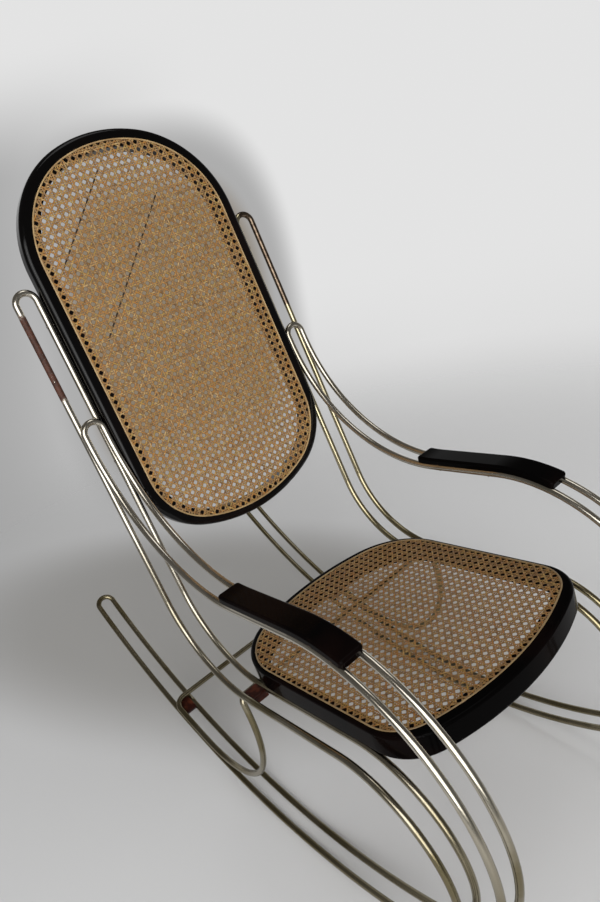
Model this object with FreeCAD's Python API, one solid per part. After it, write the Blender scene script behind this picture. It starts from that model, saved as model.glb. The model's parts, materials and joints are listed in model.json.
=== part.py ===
import FreeCAD, Part
import math
import os

os.makedirs("parts", exist_ok=True)
V = FreeCAD.Vector

# Driving dimensions, in millimetres and degrees
tube_d = 11.0             # bent steel tube
fit_gap = 0.3             # clearance left between curved faces of two pieces
lane_mid = 221.5          # middle of a tube pair, from the chair's centre plane
pair_pitch = 34.0         # distance between the two tubes of a pair

runner_r = 903.0          # rocking radius at the tube's centreline
runner_rear_deg = 20.5    # runner's end behind the bottom of the drawn circle
front_r = 248.5           # round front bend between runner and arm
front_join_deg = 43.5     # where runner and front bend meet
arm_slope_deg = 28.5      # straight part of the arm, against the drawn floor
arm_bend_r = 285.0        # long bend from arm to back
arm_at = 459.0            # arm's rear end, along the back from the seat corner

seat_from_front = (346.5, -134.3)   # where the seat and back lines cross, from the front bend's centre
back_recline_deg = 36.0
back_run = 684.0          # seat corner to the top hairpin
seat_slope_deg = 28.8
seat_run = 632.0          # seat corner to the knee's corner
seat_bend_r = 165.0
knee_r = 154.0
foot_r = 60.0             # last bend, which lays the seat pair on the front bend
rest_lean_deg = 21.2      # turn of the drawing that puts the weight above the floor contact

rod_lie = 97.5            # length of the scroll rod that lies on the runner
rod_bend_r = 22.0         # corner between crossbar and scroll
scroll_r = 195.0
scroll_meet = 26.0        # scroll's end under the seat tubes, behind their straight part
hook_r = 12.0             # turn of the scroll's end in under the seat tubes
hook_past = 4.0           # end of the rod, past the inner seat tube

block_len = 32.0          # wooden spacer block between two tubes
block_wide = 28.0
block_h = 9.5
seat_block_h = 13.0
seat_block_drop = 3.25    # its middle below the tubes' centreline
block_round = 3.0
block_under = 4.0         # rear end of the runner block, under the crossbar
block_gap = 2.0           # between the seat block and the rod behind it

wood_wide_in = 12.0       # frame inside the spline line
rear_round = 6.0          # outer edge of a frame's hidden face
spline_wide = 2.5
spline_deep = 5.0
spline_proud = 0.8
cane_t = 1.4
cane_pitch = 39.3         # grid of openings in the cane sheets
cane_open = 18.0

back_half = 177.5         # back panel, measured to the spline line
back_top = 479.0          # along the back from back_zero
back_low = -185.0
back_zero = 403.5         # along the back from the seat corner
back_top_r = (225.0, 157.0)
back_low_r = (275.0, 115.0)
back_rim_top = 19.5       # frame outside the spline line; its sides reach to the legs
back_rim_low = 15.5
back_edge_round = 8.0     # shaped outer edge of the front face
back_front = 21.6         # front face before the tubes' centreline
back_thick = 27.0

seat_half = 200.0         # seat panel, measured to the spline line
seat_front = 268.0        # along the seat from seat_zero
seat_rear = -188.0
seat_zero = 238.0         # along the seat from the seat corner
seat_front_r = (430.0, 70.0)
seat_rear_r = (400.0, 115.0)
seat_over = 3.0           # frame's sides, beyond the centreline of the tubes they stand on
seat_rim_rear = 14.0      # frame outside the spline line
seat_rim_front = 18.0
seat_edge_round = 5.0     # shaped outer edge of the upper face
seat_thick = 39.0
seat_sink = 4.5           # depth to which the tubes are let into the frame

arm_rest_wide = 40.0
arm_rest_thick = 14.0
arm_rest_lift = 2.0       # underside above the tubes' centreline
arm_rest_rear_deg = 6.8   # reach over the long bend
arm_rest_front_deg = 22.6  # reach over the front bend
arm_rest_edge = 4.0
arm_rest_corner = 6.0

screw_d = 3.5
screw_head_d = 6.0
screw_head_h = 1.6
screw_slot = 0.8
screw_seat = 1.6          # flat for the head, cut into the tube
block_screw_reach = 8.0   # past the middle of the block
wood_screw_reach = 16.0   # into a frame
arm_screw_reach = 11.5    # above the tubes' centreline
seat_screw_at = (215.0, 345.0)   # along the seat line
back_screw_at = (400.0, 640.0)   # along the back line
arm_screw_in = 16.0       # from each end of the arm's straight part

# Sizes that follow from them
tube_r = tube_d / 2
lane_out = lane_mid + pair_pitch / 2
lane_in = lane_mid - pair_pitch / 2
hairpin_r = pair_pitch / 2
stack = tube_d + fit_gap
X = V(1, 0, 0)
ORIGIN = V(0, 0, 0)
DOWN = 270.0
LEFT = 180.0
HALF = 180.0
QUARTER = 90.0


def add(a, b, k=1.0):
    return (a[0] + b[0] * k, a[1] + b[1] * k)


def polar(centre, radius, deg):
    a = math.radians(deg)
    return (centre[0] + radius * math.cos(a), centre[1] + radius * math.sin(a))


def angle(p):
    return math.degrees(math.atan2(p[1], p[0]))


def at(x, p):
    return V(x, p[0], p[1])


def cross_point(p, d, q, e):
    det = d[0] * e[1] - d[1] * e[0]
    k = ((q[0] - p[0]) * e[1] - (q[1] - p[1]) * e[0]) / det
    return add(p, d, k)


def corner(p, c, q, radius):
    # tangent arc that rounds the corner c between p and q
    u = (p[0] - c[0], p[1] - c[1])
    w = (q[0] - c[0], q[1] - c[1])
    u = add((0, 0), u, 1 / math.hypot(*u))
    w = add((0, 0), w, 1 / math.hypot(*w))
    half = math.acos(u[0] * w[0] + u[1] * w[1]) / 2
    reach = radius / math.tan(half)
    mid = add(u, w)
    centre = add(c, mid, radius / math.sin(half) / math.hypot(*mid))
    start = add(c, u, reach)
    end = add(c, w, reach)
    a0 = angle(add(start, centre, -1))
    turn = (angle(add(end, centre, -1)) - a0 + HALF) % (2 * HALF) - HALF
    return start, end, ("bend", centre, radius, a0, a0 + turn)


def disc(x, p, normal, radius):
    return Part.Face(Part.Wire(Part.Circle(at(x, p), normal, radius).toShape()))


def run(x, piece, radius):
    # one straight or bent length of tube in the plane of a lane
    if piece[0] == "line":
        way = at(0, add(piece[2], piece[1], -1))
        return Part.makeCylinder(radius, way.Length, at(x, piece[1]), way)
    kind, centre, bend_r, a0, a1 = piece
    tangent = at(0, polar((0, 0), 1, a0 + QUARTER))
    face = disc(x, polar(centre, bend_r, a0), tangent, radius)
    return face.revolve(at(x, centre), X, a1 - a0)


def lane(x, path, radius):
    return [run(x, piece, radius) for piece in path]


def hairpin(p, way):
    # half turn that joins the two tubes of a pair
    tangent = at(0, way)
    face = disc(lane_in, p, tangent, tube_r)
    return face.revolve(at(lane_mid, p), tangent.cross(X), HALF)


def join(shapes):
    return shapes[0].multiFuse(shapes[1:]).removeSplitter()


def cut(shape, tools):
    return shape.cut(tools) if tools else shape


def across(edge):
    return abs(edge.Vertexes[0].X - edge.Vertexes[-1].X) > fit_gap


def mirrored(shape):
    return shape.mirror(ORIGIN, X)


# Side profile, drawn about the rocking centre
along = polar((0, 0), 1, QUARTER - back_recline_deg)
ahead = polar((0, 0), 1, HALF - back_recline_deg)
seat_way = polar((0, 0), 1, HALF - seat_slope_deg)
seat_up = polar((0, 0), 1, QUARTER - seat_slope_deg)
arm_way = polar((0, 0), 1, HALF - arm_slope_deg)
arm_up = polar((0, 0), 1, QUARTER - arm_slope_deg)

front_c = polar((0, 0), runner_r - front_r, DOWN - front_join_deg)
seat_corner = add(front_c, seat_from_front)
back_end = add(seat_corner, along, back_run)
knee = add(seat_corner, seat_way, seat_run)
foot_y = knee[0] + foot_r
foot_off = front_r - stack - foot_r
foot_dy = foot_y - front_c[0]
foot_c = (foot_y, front_c[1] - math.sqrt(foot_off ** 2 - foot_dy ** 2))
foot_end_deg = angle(add(foot_c, front_c, -1)) % (2 * HALF)
foot_start = (knee[0], foot_c[1])

seat_s, seat_e, seat_bend = corner(back_end, seat_corner, knee, seat_bend_r)
knee_s, knee_e, knee_bend = corner(seat_corner, knee, foot_start, knee_r)
seat_path = [
    ("line", back_end, seat_s),
    seat_bend,
    ("line", seat_e, knee_s),
    knee_bend,
    ("line", knee_e, foot_start),
    ("bend", foot_c, foot_r, LEFT, foot_end_deg),
]
foot_end = polar(foot_c, foot_r, foot_end_deg)
foot_way = polar((0, 0), 1, foot_end_deg + QUARTER)

arm_end = add(add(seat_corner, along, arm_at), ahead, stack)
arm_out = polar(front_c, front_r, QUARTER - arm_slope_deg)
elbow = cross_point(arm_end, along, arm_out, arm_way)
arm_s, arm_e, arm_bend = corner(arm_end, elbow, arm_out, arm_bend_r)
join_deg = DOWN - front_join_deg
rear_deg = DOWN + runner_rear_deg
runner_bend = ("bend", (0, 0), runner_r, join_deg, rear_deg)
arm_path = [
    ("line", arm_end, arm_s),
    arm_bend,
    ("line", arm_e, arm_out),
    ("bend", front_c, front_r, QUARTER - arm_slope_deg, join_deg),
    runner_bend,
]
runner_end = polar((0, 0), runner_r, rear_deg)
runner_way = polar((0, 0), 1, rear_deg + QUARTER)


def loop(path, first, first_way, last, last_way):
    tubes = lane(lane_in, path, tube_r) + lane(lane_out, path, tube_r)
    return join(tubes + [hairpin(first, first_way), hairpin(last, last_way)])


arm_rocker_loop = loop(arm_path, arm_end, along, runner_end, runner_way)
seat_back_loop = loop(seat_path, back_end, along, foot_end, foot_way)

# Crossbar and scrolls, bent from one rod that lies on the runners and ends under the seat tubes
rod_r = runner_r - stack - fit_gap
meet_back = math.degrees(scroll_meet / seat_bend_r)
meet_deg = seat_bend[4] - math.copysign(meet_back, seat_bend[4] - seat_bend[3])
hook_p = polar(seat_bend[1], seat_bend_r + stack, meet_deg)
hook_far = math.hypot(*hook_p)
scroll_far = rod_r - scroll_r
reach = math.hypot(scroll_r, hook_r)
lift_turn = (scroll_far ** 2 + hook_far ** 2 - reach ** 2) / (2 * scroll_far * hook_far)
lift_deg = angle(hook_p) % (2 * HALF) + math.degrees(math.acos(lift_turn))
scroll_c = polar((0, 0), scroll_far, lift_deg)
scroll_end_deg = angle(add(hook_p, scroll_c, -1)) + math.degrees(math.atan2(hook_r, scroll_r))
scroll_end = polar(scroll_c, scroll_r, scroll_end_deg)
scroll_way = polar((0, 0), 1, scroll_end_deg - QUARTER)
rod_start_deg = lift_deg + math.degrees(rod_lie / rod_r)
rod_start = polar((0, 0), rod_r, rod_start_deg)
rod_way = polar((0, 0), 1, rod_start_deg - QUARTER)
bar_p = add(rod_start, rod_way, -rod_bend_r)
bar_half = lane_out - rod_bend_r
rod_path = [
    ("bend", (0, 0), rod_r, rod_start_deg, lift_deg),
    ("bend", scroll_c, scroll_r, lift_deg, scroll_end_deg),
]
bend_axis = X.cross(at(0, rod_way))
bar_bend = disc(bar_half, bar_p, X, tube_r).revolve(at(bar_half, rod_start), bend_axis, QUARTER)
hook_axis = X.cross(at(0, scroll_way))
hook_x = lane_out - hook_r
hook_bend = disc(lane_out, scroll_end, at(0, scroll_way), tube_r)
hook_bend = hook_bend.revolve(at(hook_x, scroll_end), hook_axis, QUARTER)
hook_run = Part.makeCylinder(tube_r, hook_x - lane_in + hook_past, at(hook_x, hook_p), X.negative())
scroll = [bar_bend] + lane(lane_out, rod_path, tube_r) + [hook_bend, hook_run]
crossbar = Part.makeCylinder(tube_r, 2 * bar_half, at(-bar_half, bar_p), X)
scroll_stretcher = join([crossbar] + scroll + [mirrored(s) for s in scroll])


def turned(shape, deg, x, p):
    # put a shape drawn about the origin at a point of the profile
    shape.rotate(ORIGIN, X, deg)
    shape.translate(at(x, p))
    return shape


def block(p, deg, tubes, high, drop):
    box = Part.makeBox(block_wide, block_len, high)
    box.translate(V(-block_wide / 2, -block_len / 2, -high / 2))
    box = box.makeFillet(block_round, [e for e in box.Edges if across(e) and e.Vertexes[0].Z > 0])
    box.translate(V(0, 0, -drop))
    return cut(turned(box, deg, lane_mid, p), tubes)


bar_deg = angle(bar_p) % (2 * HALF)
block_deg = bar_deg - math.degrees((tube_r - block_under + block_len / 2) / runner_r)
block_p = polar((0, 0), runner_r, block_deg)
runner_clear = lane(lane_in, [runner_bend], tube_r + fit_gap)
runner_clear += lane(lane_out, [runner_bend], tube_r + fit_gap)
runner_block = block(block_p, block_deg - DOWN, runner_clear, block_h, 0)
seat_block_p = add(seat_e, seat_way, tube_r + block_gap + block_len / 2 - scroll_meet)
seat_pair = lane(lane_in, seat_path[1:4], tube_r + fit_gap)
seat_pair += lane(lane_out, seat_path[1:4], tube_r + fit_gap)
seat_block = block(seat_block_p, -seat_slope_deg, seat_pair, seat_block_h, seat_block_drop)


# Panels: outline of two bows with rounded shoulders, offset from the spline line
def shoulder(half, end, radii, off):
    bow = radii[0] + off
    small = radii[1] + off
    bow_c = (0, end + off - bow)
    x = half + off - small
    small_c = (x, bow_c[1] + math.sqrt((bow - small) ** 2 - x ** 2))
    deg = angle(add(small_c, bow_c, -1))
    touch = polar(small_c, small, deg)
    mid = polar(small_c, small, deg / 2)
    return small_c[1], mid, touch


def outline(half, top, low, top_r, low_r, off):
    top_y, top_mid, top_touch = shoulder(half, top, top_r, off)
    low_y, low_mid, low_touch = shoulder(half, -low, low_r, off)
    side = half + off

    def pt(p, sx, sy):
        return V(p[0] * sx, p[1] * sy, 0)

    def arc(a, b, c):
        return Part.Arc(a, b, c).toShape()

    edges = [
        Part.LineSegment(V(side, -low_y, 0), V(side, top_y, 0)).toShape(),
        arc(V(side, top_y, 0), pt(top_mid, 1, 1), pt(top_touch, 1, 1)),
        arc(pt(top_touch, 1, 1), V(0, top + off, 0), pt(top_touch, -1, 1)),
        arc(pt(top_touch, -1, 1), pt(top_mid, -1, 1), V(-side, top_y, 0)),
        Part.LineSegment(V(-side, top_y, 0), V(-side, -low_y, 0)).toShape(),
        arc(V(-side, -low_y, 0), pt(low_mid, -1, -1), pt(low_touch, -1, -1)),
        arc(pt(low_touch, -1, -1), V(0, low - off, 0), pt(low_touch, 1, -1)),
        arc(pt(low_touch, 1, -1), pt(low_mid, 1, -1), V(side, -low_y, 0)),
    ]
    return Part.Wire(edges)


def widened(shape_of, side, top, low):
    half, top_end, low_end, top_r, low_r = shape_of
    top_r = (top_r[0] + top, top_r[1] + (side + top) / 2)
    low_r = (low_r[0] + low, low_r[1] + (side + low) / 2)
    return half + side, top_end + top, low_end - low, top_r, low_r


def slab(shape_of, off, base, height):
    face = Part.Face(outline(*shape_of, off))
    face.translate(V(0, 0, base))
    return face.extrude(V(0, 0, height))


def openings(shape_of):
    # square openings of the cane that clear the frame's inner edge all round
    room = slab(shape_of, -wood_wide_in - fit_gap, -cane_t, cane_t)
    half, top, low = shape_of[:3]
    columns = int(half / cane_pitch)
    rows = int((top - low) / 2 / cane_pitch)
    wires = []
    for i in range(-columns, columns + 1):
        for j in range(-rows, rows + 1):
            mid = V(i * cane_pitch, (top + low) / 2 + j * cane_pitch, -cane_t)
            turns = ((-1, -1), (1, -1), (1, 1), (-1, 1))
            corners = [mid.add(V(a * cane_open / 2, b * cane_open / 2, 0)) for a, b in turns]
            if all(room.isInside(c, fit_gap, True) for c in corners):
                wires.append(Part.makePolygon(corners + corners[:1]))
    return wires


def level_edges(shape, level):
    return [e for e in shape.Edges if all(abs(v.Z - level) < fit_gap for v in e.Vertexes)]


def panel(shape_of, rim, thick, edge_round):
    # frame, pressed-in spline and cane sheet, with the front face at zero height
    half_spline = spline_wide / 2
    body = slab(widened(shape_of, *rim), 0, -thick, thick)
    body = body.makeFillet(edge_round, level_edges(body, 0))
    body = body.makeFillet(rear_round, level_edges(body, -thick))
    opening = slab(shape_of, -wood_wide_in, -thick, thick)
    ledge = slab(shape_of, half_spline, -cane_t, cane_t + edge_round)
    groove = slab(shape_of, half_spline + fit_gap, -spline_deep, spline_deep + edge_round)
    groove = groove.cut(slab(shape_of, -half_spline - fit_gap, -spline_deep, spline_deep + edge_round))
    frame = body.cut([opening, ledge, groove])
    strip = slab(shape_of, half_spline, -spline_deep, spline_deep + spline_proud)
    strip = strip.cut(slab(shape_of, -half_spline, -spline_deep, spline_deep + spline_proud))
    strip = strip.makeFillet(spline_proud, level_edges(strip, spline_proud))
    sheet = outline(*shape_of, -half_spline - fit_gap)
    sheet.translate(V(0, 0, -cane_t))
    cane = Part.makeFace([sheet] + openings(shape_of), "Part::FaceMakerBullseye").extrude(V(0, 0, cane_t))
    return frame, strip, cane


back_shape = (back_half, back_top, back_low, back_top_r, back_low_r)
seat_shape = (seat_half, -seat_rear, -seat_front, seat_rear_r, seat_front_r)
back_p = add(add(seat_corner, along, back_zero), ahead, back_front)
seat_p = add(add(seat_corner, seat_way, seat_zero), seat_up, tube_r + seat_thick - seat_sink)
back_rim = (lane_in - tube_r - fit_gap - back_half, back_rim_top, back_rim_low)
back_turn = QUARTER - back_recline_deg
back_made = panel(back_shape, back_rim, back_thick, back_edge_round)
back_frame, back_spline, back_cane = [turned(s, back_turn, 0, back_p) for s in back_made]
seat_rims = (lane_in + seat_over - seat_half, seat_rim_rear, seat_rim_front)
seat_made = panel(seat_shape, seat_rims, seat_thick, seat_edge_round)
seat_frame, seat_spline, seat_cane = [turned(s, -seat_slope_deg, 0, seat_p) for s in seat_made]
seat_notch = lane(lane_in, seat_path[:4], tube_r + fit_gap)
seat_frame = cut(seat_frame, seat_notch + [mirrored(s) for s in seat_notch])


# Armrests: slats that follow both bends of the arm
def arm_wire(off):
    rear_deg = arm_bend[4] - math.copysign(arm_rest_rear_deg, arm_bend[4] - arm_bend[3])
    start_deg = QUARTER - arm_slope_deg
    rear_r = arm_bend_r - off
    front = front_r + off

    def spot(centre, radius, deg):
        return at(0, polar(centre, radius, deg))

    rear_mid = (rear_deg + arm_bend[4]) / 2
    front_end = start_deg + arm_rest_front_deg
    front_mid = (start_deg + front_end) / 2
    r0 = spot(arm_bend[1], rear_r, rear_deg)
    r1 = spot(arm_bend[1], rear_r, arm_bend[4])
    f0 = spot(front_c, front, start_deg)
    f1 = spot(front_c, front, front_end)
    return [
        Part.Arc(r0, spot(arm_bend[1], rear_r, rear_mid), r1).toShape(),
        Part.LineSegment(r1, f0).toShape(),
        Part.Arc(f0, spot(front_c, front, front_mid), f1).toShape(),
    ], r0, f1


low_edges, low_rear, low_front = arm_wire(arm_rest_lift)
top_edges, top_rear, top_front = arm_wire(arm_rest_lift + arm_rest_thick)
ends = [(low_rear, top_rear), (low_front, top_front)]
closing = [Part.LineSegment(a, b).toShape() for a, b in ends]
side_face = Part.Face(Part.Wire(Part.__sortEdges__(low_edges + top_edges + closing)))
side_face.translate(V(lane_mid - arm_rest_wide / 2, 0, 0))
armrest = side_face.extrude(V(arm_rest_wide, 0, 0))


def runs_between(edge, a, b):
    # true for an edge that lies on the line through a and b, seen from the side
    way = b.sub(a)
    for v in edge.Vertexes:
        d = V(0, v.Y - a.y, v.Z - a.z)
        if d.cross(way).Length > fit_gap * way.Length:
            return False
    return True


upright = [e for e in armrest.Edges if not across(e) and any(runs_between(e, a, b) for a, b in ends)]
armrest = armrest.makeFillet(arm_rest_corner, upright)


def on_top(edge):
    # true for an edge of the slat's upper face
    for v in edge.Vertexes:
        p = (v.Y, v.Z)
        flat = (p[0] - arm_out[0]) * arm_up[0] + (p[1] - arm_out[1]) * arm_up[1]
        if p[0] > arm_e[0]:
            flat = arm_bend_r - math.hypot(p[0] - arm_bend[1][0], p[1] - arm_bend[1][1])
        if p[0] < arm_out[0]:
            flat = math.hypot(p[0] - front_c[0], p[1] - front_c[1]) - front_r
        if flat < arm_rest_lift + arm_rest_thick - fit_gap:
            return False
    return True


def is_seam(edge):
    # an upper edge across the slat where two lengths meet without a corner
    return across(edge) and abs(abs(edge.Vertexes[0].X - edge.Vertexes[-1].X) - arm_rest_wide) < fit_gap


armrest = armrest.makeFillet(arm_rest_edge, [e for e in armrest.Edges if on_top(e) and not is_seam(e)])
arm_clear = lane(lane_in, arm_path[1:4], tube_r + fit_gap)
arm_clear += lane(lane_out, arm_path[1:4], tube_r + fit_gap)
armrest = cut(armrest, arm_clear)


# Slotted screws and the holes they need
def screw(p, way, length):
    # p is the tube's centre on the screw's line; the head sits on a flat of the tube
    seat = p.sub(V(way).multiply(tube_r - screw_seat))
    back = V(way).negative()
    shank = Part.makeCylinder(screw_d / 2, length, seat, way)
    head = Part.makeCylinder(screw_head_d / 2, screw_head_h, seat, back)
    side = way.cross(X) if abs(way.x) < fit_gap else way.cross(V(0, 0, 1))
    slot = Part.makeBox(screw_head_d * 2, screw_slot, screw_slot)
    slot.translate(V(-screw_head_d, -screw_slot / 2, screw_head_h - screw_slot))
    turn = FreeCAD.Placement(seat, FreeCAD.Rotation(side, V(), back, "ZXY"))
    slot.Placement = turn.multiply(slot.Placement)
    hole = Part.makeCylinder(screw_d / 2 + fit_gap, length, seat, way)
    relief = Part.makeCylinder(screw_head_d / 2 + fit_gap, tube_r, seat, back)
    return head.cut(slot).fuse(shank), [hole, relief]


def screws(places, way, length):
    made = [screw(p, way, length) for p in places]
    return [m[0] for m in made], [h for m in made for h in m[1]]


flat = tube_r - screw_seat
block_places = [at(lane_in, block_p), at(lane_in, seat_block_p)]
block_screws, block_holes = screws(block_places, X, flat + pair_pitch / 2 + block_screw_reach)
back_places = [at(lane_in, add(seat_corner, along, s)) for s in back_screw_at]
back_screws, back_holes = screws(back_places, X.negative(), flat + tube_r + wood_screw_reach)
seat_places = [at(lane_in, add(seat_corner, seat_way, s)) for s in seat_screw_at]
seat_screws, seat_holes = screws(seat_places, at(0, seat_up), flat + tube_r + wood_screw_reach)
arm_spots = [add(arm_e, arm_way, arm_screw_in), add(arm_out, arm_way, -arm_screw_in)]
arm_places = [at(lane_in, p) for p in arm_spots]
arm_screws, arm_holes = screws(arm_places, at(0, arm_up), flat + arm_screw_reach)

arm_rocker_loop = cut(arm_rocker_loop, block_holes + arm_holes)
seat_back_loop = cut(seat_back_loop, block_holes + back_holes + seat_holes)
runner_block = cut(runner_block, block_holes)
seat_block = cut(seat_block, block_holes)
armrest = cut(armrest, arm_holes)
back_frame = cut(back_frame, back_holes + [mirrored(h) for h in back_holes])
seat_frame = cut(seat_frame, seat_holes + [mirrored(h) for h in seat_holes])


def group(shapes):
    return Part.makeCompound(shapes + [mirrored(s) for s in shapes])


# One file for each piece; left and right are the sitter's
pairs = {
    "arm_rocker_loop": arm_rocker_loop,
    "seat_back_loop": seat_back_loop,
    "runner_block": runner_block,
    "seat_block": seat_block,
    "armrest": armrest,
}
nodes = {
    "scroll_stretcher": scroll_stretcher,
    "back_frame": back_frame,
    "back_spline": back_spline,
    "back_cane": back_cane,
    "seat_frame": seat_frame,
    "seat_spline": seat_spline,
    "seat_cane": seat_cane,
    "block_screws": group(block_screws),
    "back_frame_screws": group(back_screws),
    "seat_frame_screws": group(seat_screws),
    "armrest_screws": group(arm_screws),
}
for name, shape in pairs.items():
    nodes[name + "_left"] = shape
    nodes[name + "_right"] = mirrored(shape)

for name, shape in nodes.items():
    placed = shape.copy()
    placed.rotate(ORIGIN, X, rest_lean_deg)
    placed.translate(V(0, 0, runner_r + tube_r))
    placed.exportStep("parts/" + name + ".step")
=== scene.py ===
import json
import math
import random

import bpy
from mathutils import Matrix, Vector


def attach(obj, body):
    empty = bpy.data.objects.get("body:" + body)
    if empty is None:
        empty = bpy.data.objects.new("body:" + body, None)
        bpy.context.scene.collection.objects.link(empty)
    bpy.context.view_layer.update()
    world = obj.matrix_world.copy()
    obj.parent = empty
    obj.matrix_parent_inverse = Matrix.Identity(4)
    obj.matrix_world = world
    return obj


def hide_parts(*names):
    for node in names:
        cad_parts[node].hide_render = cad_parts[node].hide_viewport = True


# Lengths are in metres, angles in degrees, lights in watts and colours linear.
# A noise is written as scale, detail and roughness, and a relief as strength and depth.
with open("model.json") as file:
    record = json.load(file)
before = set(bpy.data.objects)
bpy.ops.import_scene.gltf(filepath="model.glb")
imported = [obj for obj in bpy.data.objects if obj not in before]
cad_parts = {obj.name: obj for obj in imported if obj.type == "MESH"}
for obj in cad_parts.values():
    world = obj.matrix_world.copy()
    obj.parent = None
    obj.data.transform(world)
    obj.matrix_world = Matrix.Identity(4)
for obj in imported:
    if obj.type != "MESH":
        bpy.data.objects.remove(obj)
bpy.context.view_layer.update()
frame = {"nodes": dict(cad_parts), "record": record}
scene = bpy.context.scene
scene.view_settings.view_transform = "Standard"
nodes = frame["nodes"]
X = Vector((1, 0, 0))
SEED = 11
random.seed(SEED)


# Shader helpers
RISE = (0.0, 1.0)
FALL = (1.0, 0.0)
NOISE_MIDDLE = 0.5


def grey(tone):
    return (tone, tone, tone, 1)


def node(tree, kind, values=None, **props):
    made = tree.nodes.new(kind)
    for key, value in props.items():
        setattr(made, key, value)
    for key, value in (values or {}).items():
        give(tree, made.inputs[key], value)
    return made


def give(tree, socket, value):
    if isinstance(value, bpy.types.NodeSocket):
        tree.links.new(value, socket)
    else:
        socket.default_value = value


def maths(tree, kind, a, b=0.0, clamp=False):
    return node(tree, "ShaderNodeMath", {0: a, 1: b}, operation=kind, use_clamp=clamp).outputs[0]


def minus(tree, a, b):
    return node(tree, "ShaderNodeVectorMath", {0: a, 1: b}, operation="SUBTRACT").outputs[0]


def dot(tree, a, b):
    return node(tree, "ShaderNodeVectorMath", {0: a, 1: b}, operation="DOT_PRODUCT").outputs["Value"]


def part_of(tree, vector, axis):
    return node(tree, "ShaderNodeSeparateXYZ", {0: vector}).outputs[axis]


def vector_of(tree, x, y, z):
    return node(tree, "ShaderNodeCombineXYZ", {0: x, 1: y, 2: z}).outputs[0]


def spread(tree, value, span, to=RISE):
    sets = {0: value, 1: span[0], 2: span[1], 3: to[0], 4: to[1]}
    return node(tree, "ShaderNodeMapRange", sets, interpolation_type="SMOOTHSTEP").outputs[0]


def noise(tree, vector, scale, detail=3.0, rough=0.55):
    sets = {"Vector": vector, "Scale": scale, "Detail": detail, "Roughness": rough}
    return node(tree, "ShaderNodeTexNoise", sets).outputs[0]


def blend(tree, factor, a, b):
    mix = node(tree, "ShaderNodeMix", data_type="RGBA")
    for socket, value in zip((mix.inputs[0], mix.inputs[6], mix.inputs[7]), (factor, a, b)):
        give(tree, socket, value)
    return mix.outputs[2]


def bump(tree, height, strength, depth):
    sets = {"Height": height, "Strength": strength, "Distance": depth}
    return node(tree, "ShaderNodeBump", sets).outputs[0]


def attribute(tree, name):
    return node(tree, "ShaderNodeAttribute", attribute_name=name).outputs["Fac"]


def start(name):
    mat = bpy.data.materials.new(name)
    mat.use_nodes = True
    return mat, mat.node_tree, mat.node_tree.nodes["Principled BSDF"]


def local(tree):
    return node(tree, "ShaderNodeTexCoord").outputs["Object"]


def wire(tree, shader, **links):
    for key, socket in links.items():
        tree.links.new(socket, shader.inputs[key.replace("_", " ")])


# Plated steel: bright and dulled colour, dull in patches and towards the floor
PLATING = ((0.56, 0.52, 0.44, 1), (0.19, 0.16, 0.09, 1))
OLIVE_PLATING = ((0.46, 0.405, 0.26, 1), (0.17, 0.14, 0.07, 1))
PATCHES = (9.0, 4.0, 0.55)
PATCH_SPAN = (0.45, 0.72)
PATCH_DULL = 0.5
LOW_SPAN = (0.22, 0.54)
LOW_DULL = 0.85
PLATING_GRAIN = (210.0, 3.0, 0.5)
PLATING_ROUGH = (0.16, 0.24)
METAL_SPAN = (0.2, 0.4)
PLATING_METAL = (0.9, 1.0)
PLATING_RELIEF = (0.004, 0.0003)

# Worn stretches on the outer tube of each back leg: rust on the right, tarnish on the left
RUST = {
    "first": Vector((-0.2385, 0.3122, 0.9417)),
    "last": Vector((-0.2385, 0.2576, 0.8094)),
    "reach": 0.012,
    "pale": (0.085, 0.026, 0.012, 1),
    "deep": (0.034, 0.011, 0.005, 1),
    "metal": 0.0,
}
TARNISH = {
    "first": Vector((0.2385, 0.3052, 0.9944)),
    "last": Vector((0.2385, 0.2658, 0.7972)),
    "reach": 0.026,
    "pale": (0.20, 0.15, 0.105, 1),
    "deep": (0.075, 0.052, 0.038, 1),
    "metal": 1.0,
}
WEAR_EDGE = (90.0, 5.0, 0.7)
WEAR_RAGGED = 0.3
WEAR_START = (-0.03, 0.03)
WEAR_END = (0.97, 1.05)
WEAR_LANE = 0.9
FLAKES = (240.0, 4.0, 0.6)
FLAKE_SPAN = (0.26, 0.36)
BROWNS = (130.0, 4.0)
BROWN_SPAN = (0.3, 0.7)
RUST_ROUGH = 0.5


def wear(tree, place, worn):
    # how bare the plating is, and the brown that shows there
    way = worn["last"] - worn["first"]
    off = minus(tree, place, worn["first"])
    ragged = maths(tree, "SUBTRACT", noise(tree, place, *WEAR_EDGE), NOISE_MIDDLE)
    ragged = maths(tree, "MULTIPLY", ragged, WEAR_RAGGED)
    along = maths(tree, "ADD", dot(tree, off, way / way.length_squared), ragged)
    begun = spread(tree, along, WEAR_START)
    ended = spread(tree, along, WEAR_END, FALL)
    side = maths(tree, "ABSOLUTE", part_of(tree, off, 0))
    lane = spread(tree, side, (worn["reach"] * WEAR_LANE, worn["reach"]), FALL)
    flakes = spread(tree, noise(tree, place, *FLAKES), FLAKE_SPAN)
    bare = maths(tree, "MULTIPLY", maths(tree, "MULTIPLY", begun, ended), lane)
    bare = maths(tree, "MULTIPLY", bare, flakes)
    shade = spread(tree, noise(tree, place, *BROWNS), BROWN_SPAN)
    return bare, blend(tree, shade, worn["pale"], worn["deep"])


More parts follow.
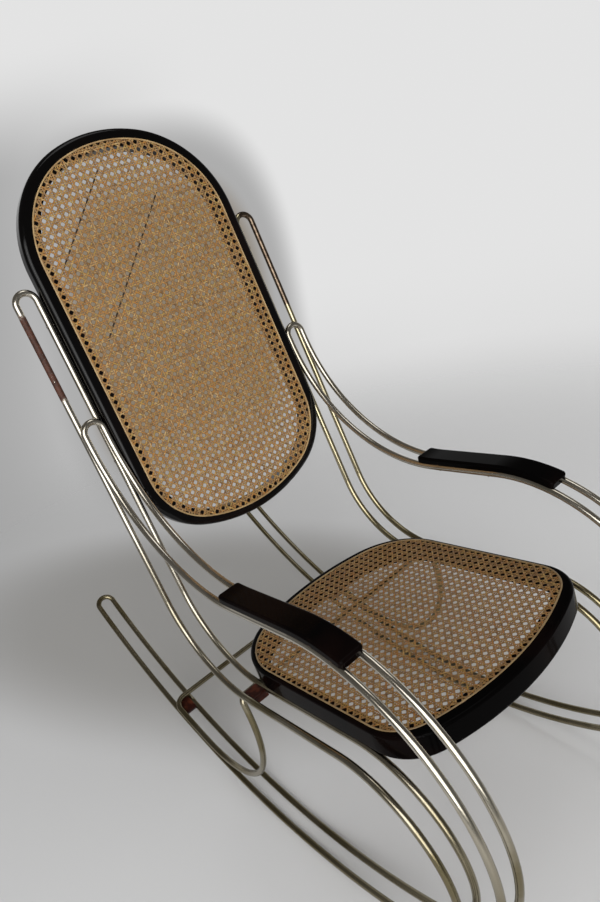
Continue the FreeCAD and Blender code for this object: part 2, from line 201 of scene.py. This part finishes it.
def plated_steel(name, bright, dulled, worn=None):
    mat, tree, shader = start(name)
    place = local(tree)
    patch = spread(tree, noise(tree, place, *PATCHES), PATCH_SPAN, (0.0, PATCH_DULL))
    # the plating turns darker and rougher towards the floor
    low = spread(tree, part_of(tree, place, 2), LOW_SPAN, (LOW_DULL, 0.0))
    dull = maths(tree, "ADD", low, patch, True)
    relief = noise(tree, place, *PLATING_GRAIN)
    colour = blend(tree, dull, bright, dulled)
    rough = spread(tree, dull, RISE, PLATING_ROUGH)
    metal = spread(tree, relief, METAL_SPAN, PLATING_METAL)
    if worn:
        bare, brown = wear(tree, place, worn)
        colour = blend(tree, bare, colour, brown)
        rust = maths(tree, "MULTIPLY", bare, 1.0 - worn["metal"])
        rough = maths(tree, "ADD", rough, maths(tree, "MULTIPLY", rust, RUST_ROUGH), True)
        metal = maths(tree, "MULTIPLY", metal, maths(tree, "SUBTRACT", 1.0, rust))
        relief = maths(tree, "SUBTRACT", relief, rust)
    normal = bump(tree, relief, *PLATING_RELIEF)
    wire(tree, shader, Base_Color=colour, Roughness=rough, Metallic=metal, Normal=normal)
    return mat


# Lacquer: deep tone, warm tone, and the wood that shows in nicks along the edges
BLACK = ((0.0014, 0.0012, 0.0012, 1), (0.0042, 0.0022, 0.0019, 1), (0.10, 0.065, 0.045, 1))
RED = ((0.022, 0.006, 0.004, 1), (0.075, 0.019, 0.009, 1), (0.20, 0.10, 0.06, 1))
BLACK_SCALE = 7.0
RED_SCALE = 45.0
BACK_SHINE = 0.20
WORN_SHINE = 0.02
RED_SHINE = 0.10
LACQUER_DETAIL = 4.0
LACQUER_SPAN = (0.45, 0.7)
LACQUER_GRAIN = (260.0, 3.0)
EDGE_RADIUS = 0.0025
EDGE_SAMPLES = 4
EDGE_SPAN = (0.93, 0.995)
NICKS = (55.0, 5.0, 0.7)
NICK_SPAN = (0.56, 0.66)
NICK_ROUGH = 0.35
SMEARS = (22.0, 5.0, 0.65)
SMEAR_SPAN = (0.35, 0.75)
LACQUER_ROUGH = (0.06, 0.16)
LACQUER_RELIEF = (0.03, 0.0003)


def lacquer(name, scale, shine, deep, warm, wood):
    mat, tree, shader = start(name)
    place = local(tree)
    cloud = noise(tree, place, scale, LACQUER_DETAIL)
    colour = blend(tree, spread(tree, cloud, LACQUER_SPAN), deep, warm)
    rounded = node(tree, "ShaderNodeBevel", {"Radius": EDGE_RADIUS}, samples=EDGE_SAMPLES).outputs[0]
    true = node(tree, "ShaderNodeNewGeometry").outputs["Normal"]
    edge = spread(tree, dot(tree, rounded, true), EDGE_SPAN, FALL)
    nicks = maths(tree, "MULTIPLY", edge, spread(tree, noise(tree, place, *NICKS), NICK_SPAN))
    colour = blend(tree, nicks, colour, wood)
    smear = spread(tree, noise(tree, place, *SMEARS), SMEAR_SPAN, LACQUER_ROUGH)
    rough = maths(tree, "ADD", smear, maths(tree, "MULTIPLY", nicks, NICK_ROUGH))
    normal = bump(tree, noise(tree, place, *LACQUER_GRAIN), *LACQUER_RELIEF)
    wire(tree, shader, Base_Color=colour, Roughness=rough, Normal=normal)
    shader.inputs["Specular IOR Level"].default_value = shine
    return mat


# Cane: deep tone, which is also the painted shade along strand edges, base, and tints that come and go
# along a strand.
# A tint is written as noise scale, span, share and colour.
CANE_DEEP = (0.090, 0.043, 0.013)
CANE_BASE = (0.45, 0.265, 0.100)
CANE_TINTS = (
    (70.0, (0.48, 0.60), 0.85, (0.46, 0.200, 0.030)),
    (110.0, (0.52, 0.64), 0.80, (0.64, 0.470, 0.230)),
    (60.0, (0.52, 0.64), 0.70, (0.42, 0.300, 0.075)),
    (90.0, (0.53, 0.64), 0.75, (0.13, 0.064, 0.021)),
    (50.0, (0.52, 0.66), 0.60, (0.30, 0.205, 0.125)),
)
CANE_STAIN = (0.022, 0.012, 0.006)
BACK_CANE = (0.97, 0.93, 0.86)
# the seat's cane is a darker, more saturated copy of the back's
SEAT_CANE = (0.76, 0.665, 0.44)
TINT_DETAIL = 2.0
TINT_APART = 50.0
CANE_FIBRE = (6.0, 3.0)
FIBRE_ALONG = 40.0
FIBRE_SPAN = (0.45, 0.75)
FIBRE_DARK = 0.4
RIM_SHADE_SPAN = (0.7, 1.8)
RIM_SHADE = 0.85
STAIN_SPAN = (-1.0, -0.2)
CANE_SPAN = (0.3, 0.8)
CANE_ROUGH = (0.36, 0.55)
CANE_RELIEF = (0.25, 0.0002)


def strand_cane(name, dim):
    mat, tree, shader = start(name)

    def dimmed(colour):
        return tuple(part * share for part, share in zip(colour, dim)) + (1,)

    tone = attribute(tree, "tone")
    along = attribute(tree, "along")
    across = attribute(tree, "across")
    apart = maths(tree, "MULTIPLY", tone, TINT_APART)
    deep = dimmed(CANE_DEEP)
    colour = blend(tree, tone, deep, dimmed(CANE_BASE))
    for scale, span, share, tint in CANE_TINTS:
        cloud = noise(tree, vector_of(tree, along, scale, apart), scale, TINT_DETAIL)
        colour = blend(tree, spread(tree, cloud, span, (0.0, share)), colour, dimmed(tint))
    drawn_out = maths(tree, "MULTIPLY", along, FIBRE_ALONG)
    fibre = noise(tree, vector_of(tree, drawn_out, across, tone), *CANE_FIBRE)
    colour = blend(tree, spread(tree, fibre, FIBRE_SPAN, (0.0, FIBRE_DARK)), colour, deep)
    # painted shade: each strand darkens towards both edges
    rim_shade = spread(tree, maths(tree, "ABSOLUTE", across), RIM_SHADE_SPAN, (0.0, RIM_SHADE))
    colour = blend(tree, rim_shade, colour, deep)
    colour = blend(tree, spread(tree, tone, STAIN_SPAN, FALL), colour, dimmed(CANE_STAIN))
    rough = spread(tree, fibre, CANE_SPAN, CANE_ROUGH)
    wire(tree, shader, Base_Color=colour, Roughness=rough, Normal=bump(tree, fibre, *CANE_RELIEF))
    return mat


# Spline round the cane: pale, brown and deep reed
REED = ((0.48, 0.33, 0.155), (0.32, 0.20, 0.085), (0.18, 0.10, 0.04))
BACK_REED = 1.0
# the seat's spline is a darker copy of the back's
SEAT_REED = 0.62
REED_FIBRE = (420.0, 3.0)
REED_CLOUD = (30.0, 4.0)
REED_BROWN_SPAN = (0.35, 0.7)
REED_DEEP_SPAN = (0.5, 0.8)
REED_DEEP = 0.5
REED_SPAN = (0.3, 0.8)
REED_ROUGH = (0.35, 0.5)
REED_RELIEF = (0.2, 0.0003)


def reed(name, dim):
    mat, tree, shader = start(name)
    place = local(tree)
    pale, brown, deep = (tuple(part * dim for part in colour) + (1,) for colour in REED)
    fibre = noise(tree, place, *REED_FIBRE)
    cloud = noise(tree, place, *REED_CLOUD)
    colour = blend(tree, spread(tree, cloud, REED_BROWN_SPAN), pale, brown)
    colour = blend(tree, spread(tree, fibre, REED_DEEP_SPAN, (0.0, REED_DEEP)), colour, deep)
    rough = spread(tree, fibre, REED_SPAN, REED_ROUGH)
    wire(tree, shader, Base_Color=colour, Roughness=rough, Normal=bump(tree, fibre, *REED_RELIEF))
    return mat


# Screws
SCREW = ((0.50, 0.47, 0.42, 1), (0.30, 0.26, 0.21, 1))
SCREW_GRAIN = (900.0, 4.0, 0.6)
SCREW_SPAN = (0.3, 0.7)
SCREW_ROUGH = (0.25, 0.45)
SCREW_RELIEF = (0.1, 0.0002)


def screw_steel(name):
    mat, tree, shader = start(name)
    grain = noise(tree, local(tree), *SCREW_GRAIN)
    colour = blend(tree, grain, *SCREW)
    rough = spread(tree, grain, SCREW_SPAN, SCREW_ROUGH)
    wire(tree, shader, Base_Color=colour, Roughness=rough, Normal=bump(tree, grain, *SCREW_RELIEF))
    shader.inputs["Metallic"].default_value = 1.0
    return mat


# Materials of the CAD nodes: by their slot, and then the nodes that differ from the rest of their slot
steel = plated_steel("plated_steel", *PLATING)
rusted = plated_steel("plated_steel_rusted", *PLATING, RUST)
tarnished = plated_steel("plated_steel_tarnished", *OLIVE_PLATING, TARNISH)
black = lacquer("black_lacquer", BLACK_SCALE, BACK_SHINE, *BLACK)
worn_black = lacquer("black_lacquer_worn", BLACK_SCALE, WORN_SHINE, *BLACK)
red = lacquer("red_lacquer", RED_SCALE, RED_SHINE, *RED)
cane = strand_cane("woven_cane", BACK_CANE)
seat_cane = strand_cane("woven_cane_darker", SEAT_CANE)
spline = reed("cane_spline", BACK_REED)
seat_spline = reed("cane_spline_darker", SEAT_REED)
screws = screw_steel("screw_steel")

SLOT_FINISH = {
    "black_lacquer": black,
    "red_block": red,
    "cane_spline": spline,
    "screw_steel": screws,
    "plated_steel": steel,
    "woven_cane": cane,
}
NODE_FINISH = {
    "seat_back_loop_right": rusted,
    "seat_back_loop_left": tarnished,
    "seat_frame": worn_black,
    "armrest_left": worn_black,
    "armrest_right": worn_black,
    "seat_spline": seat_spline,
}
for part in frame["record"]["subparts"]:
    finish = NODE_FINISH.get(part["node"], SLOT_FINISH[part["material_slot"]])
    nodes[part["node"]].material_slots[0].material = finish


# Woven cane panels: the weave's sizes, and its place on each panel in parts of the pitch
PITCH = 0.01309
PAIR_HALF = 0.00175
STRAND_WIDE = 0.0023
DIAGONAL_WIDE = 0.0031
STRAND_THICK = 0.00050
CROWN_PART = 0.30
LIFT = 0.00042
BACK_PHASE = (0.5, 0.75)
SEAT_PHASE = (0.5, 0.5)

# What chance changes from strand to strand: shift, width and tone
JITTER = 0.00012
STRAND_VARY = (0.92, 1.06)
TONE_MIDDLE = 0.66
TONE_LEAST = 0.1
TONE_MOST = 1.0
STRAIGHT_VARY = 0.2
DIAGONAL_VARY = 0.1

# Two diagonal strands of the back are stained dark over part of their length
DARK_STRANDS = (-0.3044, -0.172)
STAINED_PART = (0.12, 0.80)
STAINED_TONE = -1.0

# Values of the reckoning: a strand's free ends in steps, its edge in the shader, and limits
END_ROOM = 0.2
ACROSS_EDGE = 2
LINE_REACH = 10.0
PARALLEL = 1e-12
SIDEWAYS = 0.5
DECIMALS = 6


def hull(points):
    # the convex outline round the points, counter-clockwise
    points = sorted(set(points))

    def chain(run):
        made = []
        for p in run:
            while len(made) > 1:
                (ax, ay), (bx, by) = made[-2:]
                if (bx - ax) * (p[1] - ay) - (by - ay) * (p[0] - ax) > 0:
                    break
                made.pop()
            made.append(p)
        return made[:-1]

    return chain(points) + chain(points[::-1])


def clip(outline, p, d):
    # the stretch of the line p + s*d inside a convex outline
    low, high = -LINE_REACH, LINE_REACH
    for (ax, ay), (bx, by) in zip(outline, outline[1:] + outline[:1]):
        nx, ny = ay - by, bx - ax
        room = (p[0] - ax) * nx + (p[1] - ay) * ny
        rate = d[0] * nx + d[1] * ny
        if abs(rate) < PARALLEL:
            if room < 0:
                return None
            continue
        s = -room / rate
        low, high = (max(low, s), high) if rate > 0 else (low, min(high, s))
    return (low, high) if high - low > PITCH / 2 else None


def any_tone(vary):
    return min(TONE_MOST, max(TONE_LEAST, random.gauss(TONE_MIDDLE, vary)))


class Weave:
    """Flat strands on the plane of a cane node, woven in pairs with two diagonals."""

    def __init__(self, sheet, phase):
        # the largest face that doesn't look sideways gives the plane
        mesh = sheet.data
        self.phase = phase
        face = max((f for f in mesh.polygons if abs(f.normal.x) < SIDEWAYS), key=lambda f: f.area)
        self.out = face.normal * (1 if face.normal.z - face.normal.y > 0 else -1)
        self.up = self.out.cross(X)
        levels = [v.co.dot(self.out) for v in mesh.vertices]
        self.level = (max(levels) + min(levels)) / 2
        flat = [(v.co.x, v.co.dot(self.up)) for v in mesh.vertices]
        self.outline = hull([(round(x, DECIMALS), round(y, DECIMALS)) for x, y in flat])
        heights = [p[1] for p in self.outline]
        self.zero = (min(heights) + max(heights)) / 2
        self.points, self.faces = [], []
        self.tone, self.along, self.across = [], [], []

    def place(self, x, y, z):
        return X * x + self.up * y + self.out * (self.level + z)

    def strand(self, p, d, wide, lift, tone, stain=None):
        # one strand along the line p + s*d, which rises and falls with lift
        shift = random.uniform(-JITTER, JITTER)
        p = (p[0] - d[1] * shift, p[1] + d[0] * shift)
        ends = clip(self.outline, p, d)
        if not ends:
            return
        wide *= random.uniform(*STRAND_VARY)
        half, crown, edge = wide / 2, STRAND_THICK / 2, wide * CROWN_PART
        ring = [(-half, 0), (-edge, crown), (edge, crown), (half, 0), (edge, -crown), (-edge, -crown)]
        step = PITCH / 2 / max(abs(d[0]), abs(d[1]))
        first_stop = math.ceil(ends[0] / step + END_ROOM)
        last_stop = math.floor(ends[1] / step - END_ROOM)
        stops = [ends[0]]
        stops += [k * step for k in range(first_stop, last_stop + 1)]
        stops.append(ends[1])
        first = len(self.points)
        for s in stops:
            x, y = p[0] + d[0] * s, p[1] + d[1] * s
            part = (s - ends[0]) / (ends[1] - ends[0])
            here = STAINED_TONE if stain and stain[0] < part < stain[1] else tone
            for a, h in ring:
                self.points.append(self.place(x - d[1] * a, y + d[0] * a, lift(x, y - self.zero) + h))
                self.tone.append(here)
                self.along.append(s)
                self.across.append(a / half * ACROSS_EDGE)
        size = len(ring)
        for i in range(len(stops) - 1):
            a = first + i * size
            for j in range(size):
                k = (j + 1) % size
                self.faces.append((a + j, a + size + j, a + size + k, a + k))
        last = len(self.points) - size
        self.faces.append(tuple(range(first, first + size)))
        self.faces.append(tuple(range(last + size - 1, last - 1, -1)))

    def weave(self, dark=()):
        wide = max(p[0] for p in self.outline)
        tall = max(p[1] for p in self.outline) - self.zero
        columns, rows = math.ceil(wide / PITCH), math.ceil(tall / PITCH)
        turn = math.tau / PITCH
        diagonal = 1 / math.sqrt(2)
        x0, y0 = (part * PITCH for part in self.phase)

        def upright_lift(side):
            return lambda x, y: side * LIFT * (0.5 + 0.5 * math.cos(turn * (y - y0)))

        def level_lift(x, y):
            return 0.0

        def diagonal_lift(way):
            return lambda x, y: -way * LIFT * math.cos(turn * (x - x0))

        for i in range(-columns, columns + 1):
            for side in (-1, 1):
                at = (x0 + i * PITCH + side * PAIR_HALF, self.zero)
                self.strand(at, (0, 1), STRAND_WIDE, upright_lift(side), any_tone(STRAIGHT_VARY))
        for j in range(-rows, rows + 1):
            for side in (-1, 1):
                at = (0, self.zero + y0 + j * PITCH + side * PAIR_HALF)
                self.strand(at, (1, 0), STRAND_WIDE, level_lift, any_tone(STRAIGHT_VARY))
        for n in range(-columns - rows, columns + rows):
            for way in (-1, 1):
                at = (n + 0.5) * PITCH + x0 - way * y0
                stained = way == 1 and any(abs(at - c) < PITCH / 2 for c in dark)
                self.strand((at, self.zero), (diagonal, way * diagonal), DIAGONAL_WIDE, diagonal_lift(way),
                            any_tone(DIAGONAL_VARY), STAINED_PART if stained else None)

    def build(self, name, cad_node, finish):
        mesh = bpy.data.meshes.new(name)
        mesh.from_pydata(self.points, [], self.faces)
        for key in ("tone", "along", "across"):
            layer = mesh.attributes.new(key, "FLOAT", "POINT")
            layer.data.foreach_set("value", getattr(self, key))
        mesh.materials.append(finish)
        mesh.update()
        piece = bpy.data.objects.new(name, mesh)
        scene.collection.objects.link(piece)
        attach(piece, "root")
        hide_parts(cad_node)


back = Weave(nodes["back_cane"], BACK_PHASE)
back.weave(DARK_STRANDS)
back.build("back_cane_weave", "back_cane", cane)
seat = Weave(nodes["seat_cane"], SEAT_PHASE)
seat.weave()
seat.build("seat_cane_weave", "seat_cane", seat_cane)


# Front cross rod: carries the scroll rod on under the seat, from one turned-in end to the other.
# The ends are the scroll rod's points above one height and within one distance from the middle.
ROD_END_ABOVE = 0.25
ROD_END_WITHIN = 0.202
ROD_RINGS = (-1.0, -0.5, 0.0, 0.5, 1.0)
ROD_SIDES = 32


def cross_rod():
    places = [v.co for v in nodes["scroll_stretcher"].data.vertices]
    ends = [p for p in places if p.z > ROD_END_ABOVE and abs(p.x) < ROD_END_WITHIN]
    middle = (Vector(map(min, zip(*ends))) + Vector(map(max, zip(*ends)))) / 2
    half = max(p.x for p in ends)
    radius = max((p.yz - middle.yz).length for p in ends)
    points, faces = [], []
    for part in ROD_RINGS:
        for k in range(ROD_SIDES):
            a = math.tau * k / ROD_SIDES
            points.append((half * part, middle.y + radius * math.cos(a), middle.z + radius * math.sin(a)))
    last = len(points) - ROD_SIDES
    for first in range(0, last, ROD_SIDES):
        for k in range(ROD_SIDES):
            n = (k + 1) % ROD_SIDES
            faces.append((first + k, first + n, first + ROD_SIDES + n, first + ROD_SIDES + k))
    faces.append(tuple(range(ROD_SIDES - 1, -1, -1)))
    faces.append(tuple(range(last, len(points))))
    mesh = bpy.data.meshes.new("seat_cross_rod")
    mesh.from_pydata(points, [], faces)
    mesh.polygons.foreach_set("use_smooth", [len(f) == 4 for f in faces])
    mesh.materials.append(steel)
    piece = bpy.data.objects.new("seat_cross_rod", mesh)
    scene.collection.objects.link(piece)
    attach(piece, "root")


cross_rod()


# Camera: with the photograph's roll
CAMERA_AT = Vector((-0.5941, -0.8659, 1.1343))
CAMERA_TURN = 34.51
CAMERA_TILT = -24.78
CAMERA_ROLL = -15.34
CAMERA_LENS = 28.82

camera = bpy.data.objects.new("camera", bpy.data.cameras.new("camera"))
camera.data.lens = CAMERA_LENS
turn, tilt, roll = (math.radians(a) for a in (CAMERA_TURN, CAMERA_TILT, CAMERA_ROLL))
ahead = Vector((math.sin(turn) * math.cos(tilt), math.cos(turn) * math.cos(tilt), math.sin(tilt)))
level = Vector((math.cos(turn), -math.sin(turn), 0))
right = level * math.cos(roll) + level.cross(ahead) * math.sin(roll)
upward = right.cross(ahead)
turned = Matrix((right, upward, -ahead)).transposed().to_4x4()
camera.matrix_world = Matrix.Translation(CAMERA_AT) @ turned
scene.collection.objects.link(camera)
scene.camera = camera


# Floor: pale, with a painted soft shadow in an oval behind the chair and painted shade to the left, fading
# into the backdrop
FLOOR_REACH = 6.0
FLOOR_ROUGH = 0.65
FLOOR_SHADED_LEFT = grey(0.66)
FLOOR_BRIGHT_RIGHT = grey(0.78)
FLOOR_SHADE_SPAN = (0.25, 0.85)
FLOOR_FADE_SPAN = (0.9, 2.4)
FLOOR_PAINTED_SHADOW = (0.40, 0.392, 0.378, 1)
FLOOR_SHADOW_AT = Vector((0.0, 0.7, 0.0))
FLOOR_SHADOW_ALONG = Vector((-0.45, 0.89, 0.0))
FLOOR_SHADOW_ACROSS = Vector((0.89, 0.45, 0.0))
FLOOR_SHADOW_LONG = 0.95
FLOOR_SHADOW_WIDE = 0.42
FLOOR_SHADOW_SPAN = (0.25, 1.3)


def floor_material():
    mat, tree, shader = start("pale_floor")
    place = local(tree)
    shader.inputs["Roughness"].default_value = FLOOR_ROUGH
    # painted soft shadow: an oval behind the chair where the floor's colour darkens
    off = minus(tree, place, FLOOR_SHADOW_AT)
    squares = []
    for axis, size in ((FLOOR_SHADOW_ALONG, FLOOR_SHADOW_LONG), (FLOOR_SHADOW_ACROSS, FLOOR_SHADOW_WIDE)):
        reach = dot(tree, off, axis / size)
        squares.append(maths(tree, "MULTIPLY", reach, reach))
    dim = spread(tree, maths(tree, "ADD", *squares), FLOOR_SHADOW_SPAN, FALL)
    # painted shade: the floor's colour is darker to the left
    side = spread(tree, part_of(tree, place, 0), FLOOR_SHADE_SPAN)
    colour = blend(tree, side, FLOOR_SHADED_LEFT, FLOOR_BRIGHT_RIGHT)
    wire(tree, shader, Base_Color=blend(tree, dim, colour, FLOOR_PAINTED_SHADOW))
    length = node(tree, "ShaderNodeVectorMath", {0: place}, operation="LENGTH").outputs["Value"]
    fade = spread(tree, length, FLOOR_FADE_SPAN)
    clear = node(tree, "ShaderNodeBsdfTransparent").outputs[0]
    mix = node(tree, "ShaderNodeMixShader", {0: fade, 1: shader.outputs[0], 2: clear})
    tree.links.new(mix.outputs[0], tree.nodes["Material Output"].inputs["Surface"])
    return mat


mesh = bpy.data.meshes.new("floor")
corners = ((-1, -1), (1, -1), (1, 1), (-1, 1))
mesh.from_pydata([(x * FLOOR_REACH, y * FLOOR_REACH, 0) for x, y in corners], [], [(0, 1, 2, 3)])
mesh.materials.append(floor_material())
floor = bpy.data.objects.new("floor", mesh)
scene.collection.objects.link(floor)


# Backdrop, by direction: a pale wall over a greyer ground, with painted shadow at the left of the picture
# and a painted soft shadow round the chair's back, and a dark room at the sides, behind the camera and
# above
WALL = grey(0.77)
WALL_HEIGHT = (-0.62, -0.20)
GROUND_SHADED_LEFT = grey(0.36)
GROUND_RIGHT = grey(0.60)
GROUND_SHADE_SPAN = (-0.05, 0.22)
LEFT_SHADOW = grey(0.30)
LEFT_SHADOW_SHARE = 0.80
LEFT_SHADOW_SPAN = (-0.42, -0.12)
LEFT_SHADOW_HEIGHT = (0.0, 0.14)
SHADE_RIGHT = -0.170
SHADE_UP = 0.158
SHADE_TURN = 11.6
SHADE_LONG = 0.250
SHADE_WIDE = 0.160
SHADE_POWER = 3.0
SHADE_FRINGE = grey(0.42)
SHADE_FRINGE_SPAN = (0.75, 1.55)
SHADE_CORE = (0.25, 0.205, 0.15, 1)
SHADE_CORE_SPAN = (0.30, 0.72)
ROOM_BEHIND = grey(0.30)
ROOM_SIDES = grey(0.17)
ROOM_BEHIND_SPAN = (-0.9, -0.6)
ROOM_SPAN = (0.25, 0.62)
ROOM_ABOVE = (0.11, 0.105, 0.10, 1)
ROOM_ABOVE_HEIGHT = (0.2, 0.5)

# Light from all round, for surfaces that are not mirrors
AMBIENT_LOW = grey(0.22)
AMBIENT_HIGH = grey(0.50)
AMBIENT_HEIGHT = (-0.3, 0.9)


def shade_axes():
    # across and along the soft shadow round the chair's back
    at = (ahead + right * SHADE_RIGHT + upward * SHADE_UP).normalized()
    lean = math.radians(SHADE_TURN)
    across = at.cross(upward * math.cos(lean) - right * math.sin(lean)).normalized()
    return (across, SHADE_WIDE), (across.cross(at), SHADE_LONG)


def studio():
    world = bpy.data.worlds.new("studio")
    world.use_nodes = True
    scene.world = world
    tree = world.node_tree
    ray = node(tree, "ShaderNodeLightPath").outputs
    seen = maths(tree, "MAXIMUM", ray["Is Camera Ray"], ray["Is Glossy Ray"])
    seen = maths(tree, "MAXIMUM", seen, ray["Is Transmission Ray"])
    way = node(tree, "ShaderNodeTexCoord").outputs["Generated"]
    height = part_of(tree, way, 2)
    side = dot(tree, way, right)
    facing = dot(tree, way, Vector((ahead.x, ahead.y, 0)).normalized())

    # painted shadow: the ground is darker at the left of the picture
    ground = blend(tree, spread(tree, side, GROUND_SHADE_SPAN), GROUND_SHADED_LEFT, GROUND_RIGHT)
    backdrop = blend(tree, spread(tree, height, WALL_HEIGHT), ground, WALL)
    # painted shadow over the lower left of the backdrop
    left_shadow = spread(tree, side, LEFT_SHADOW_SPAN, (LEFT_SHADOW_SHARE, 0.0))
    left_shadow = maths(tree, "MULTIPLY", left_shadow, spread(tree, height, LEFT_SHADOW_HEIGHT, FALL))
    backdrop = blend(tree, left_shadow, backdrop, LEFT_SHADOW)
    powers = []
    for axis, size in shade_axes():
        off = maths(tree, "ABSOLUTE", maths(tree, "DIVIDE", dot(tree, way, axis), size))
        powers.append(maths(tree, "POWER", off, SHADE_POWER))
    far = maths(tree, "ADD", *powers)
    # painted soft shadow round the chair's back: a grey fringe and a warm core
    backdrop = blend(tree, spread(tree, far, SHADE_FRINGE_SPAN, FALL), backdrop, SHADE_FRINGE)
    backdrop = blend(tree, spread(tree, far, SHADE_CORE_SPAN, FALL), backdrop, SHADE_CORE)
    room = blend(tree, spread(tree, facing, ROOM_BEHIND_SPAN), ROOM_BEHIND, ROOM_SIDES)
    backdrop = blend(tree, spread(tree, facing, ROOM_SPAN), room, backdrop)
    backdrop = blend(tree, spread(tree, height, ROOM_ABOVE_HEIGHT), backdrop, ROOM_ABOVE)
    ambient = blend(tree, spread(tree, height, AMBIENT_HEIGHT), AMBIENT_LOW, AMBIENT_HIGH)
    sky = tree.nodes["Background"]
    tree.links.new(blend(tree, seen, ambient, backdrop), sky.inputs["Color"])
    sky.inputs["Strength"].default_value = 1.0


studio()


# Lights: place, width, height and power. The strip draws the narrow line on the black frame.
LIGHT_AIM = Vector((0.0, 0.05, 0.5))
LIGHTS = {
    "key": ((-1.80, -2.20, 1.60), 3.4, 2.8, 78),
    "strip": ((-1.75, -2.15, 1.52), 0.4, 2.6, 15),
    "top": ((0.6, -0.3, 3.0), 1.2, 0.9, 6),
}


def softbox(name, at, wide, tall, power):
    light = bpy.data.lights.new(name, "AREA")
    light.shape = "RECTANGLE"
    light.size, light.size_y = wide, tall
    light.energy = power
    lamp = bpy.data.objects.new(name, light)
    lamp.location = at
    lamp.rotation_euler = (LIGHT_AIM - Vector(at)).to_track_quat("-Z", "Y").to_euler()
    scene.collection.objects.link(lamp)


for name, settings in LIGHTS.items():
    softbox(name, *settings)
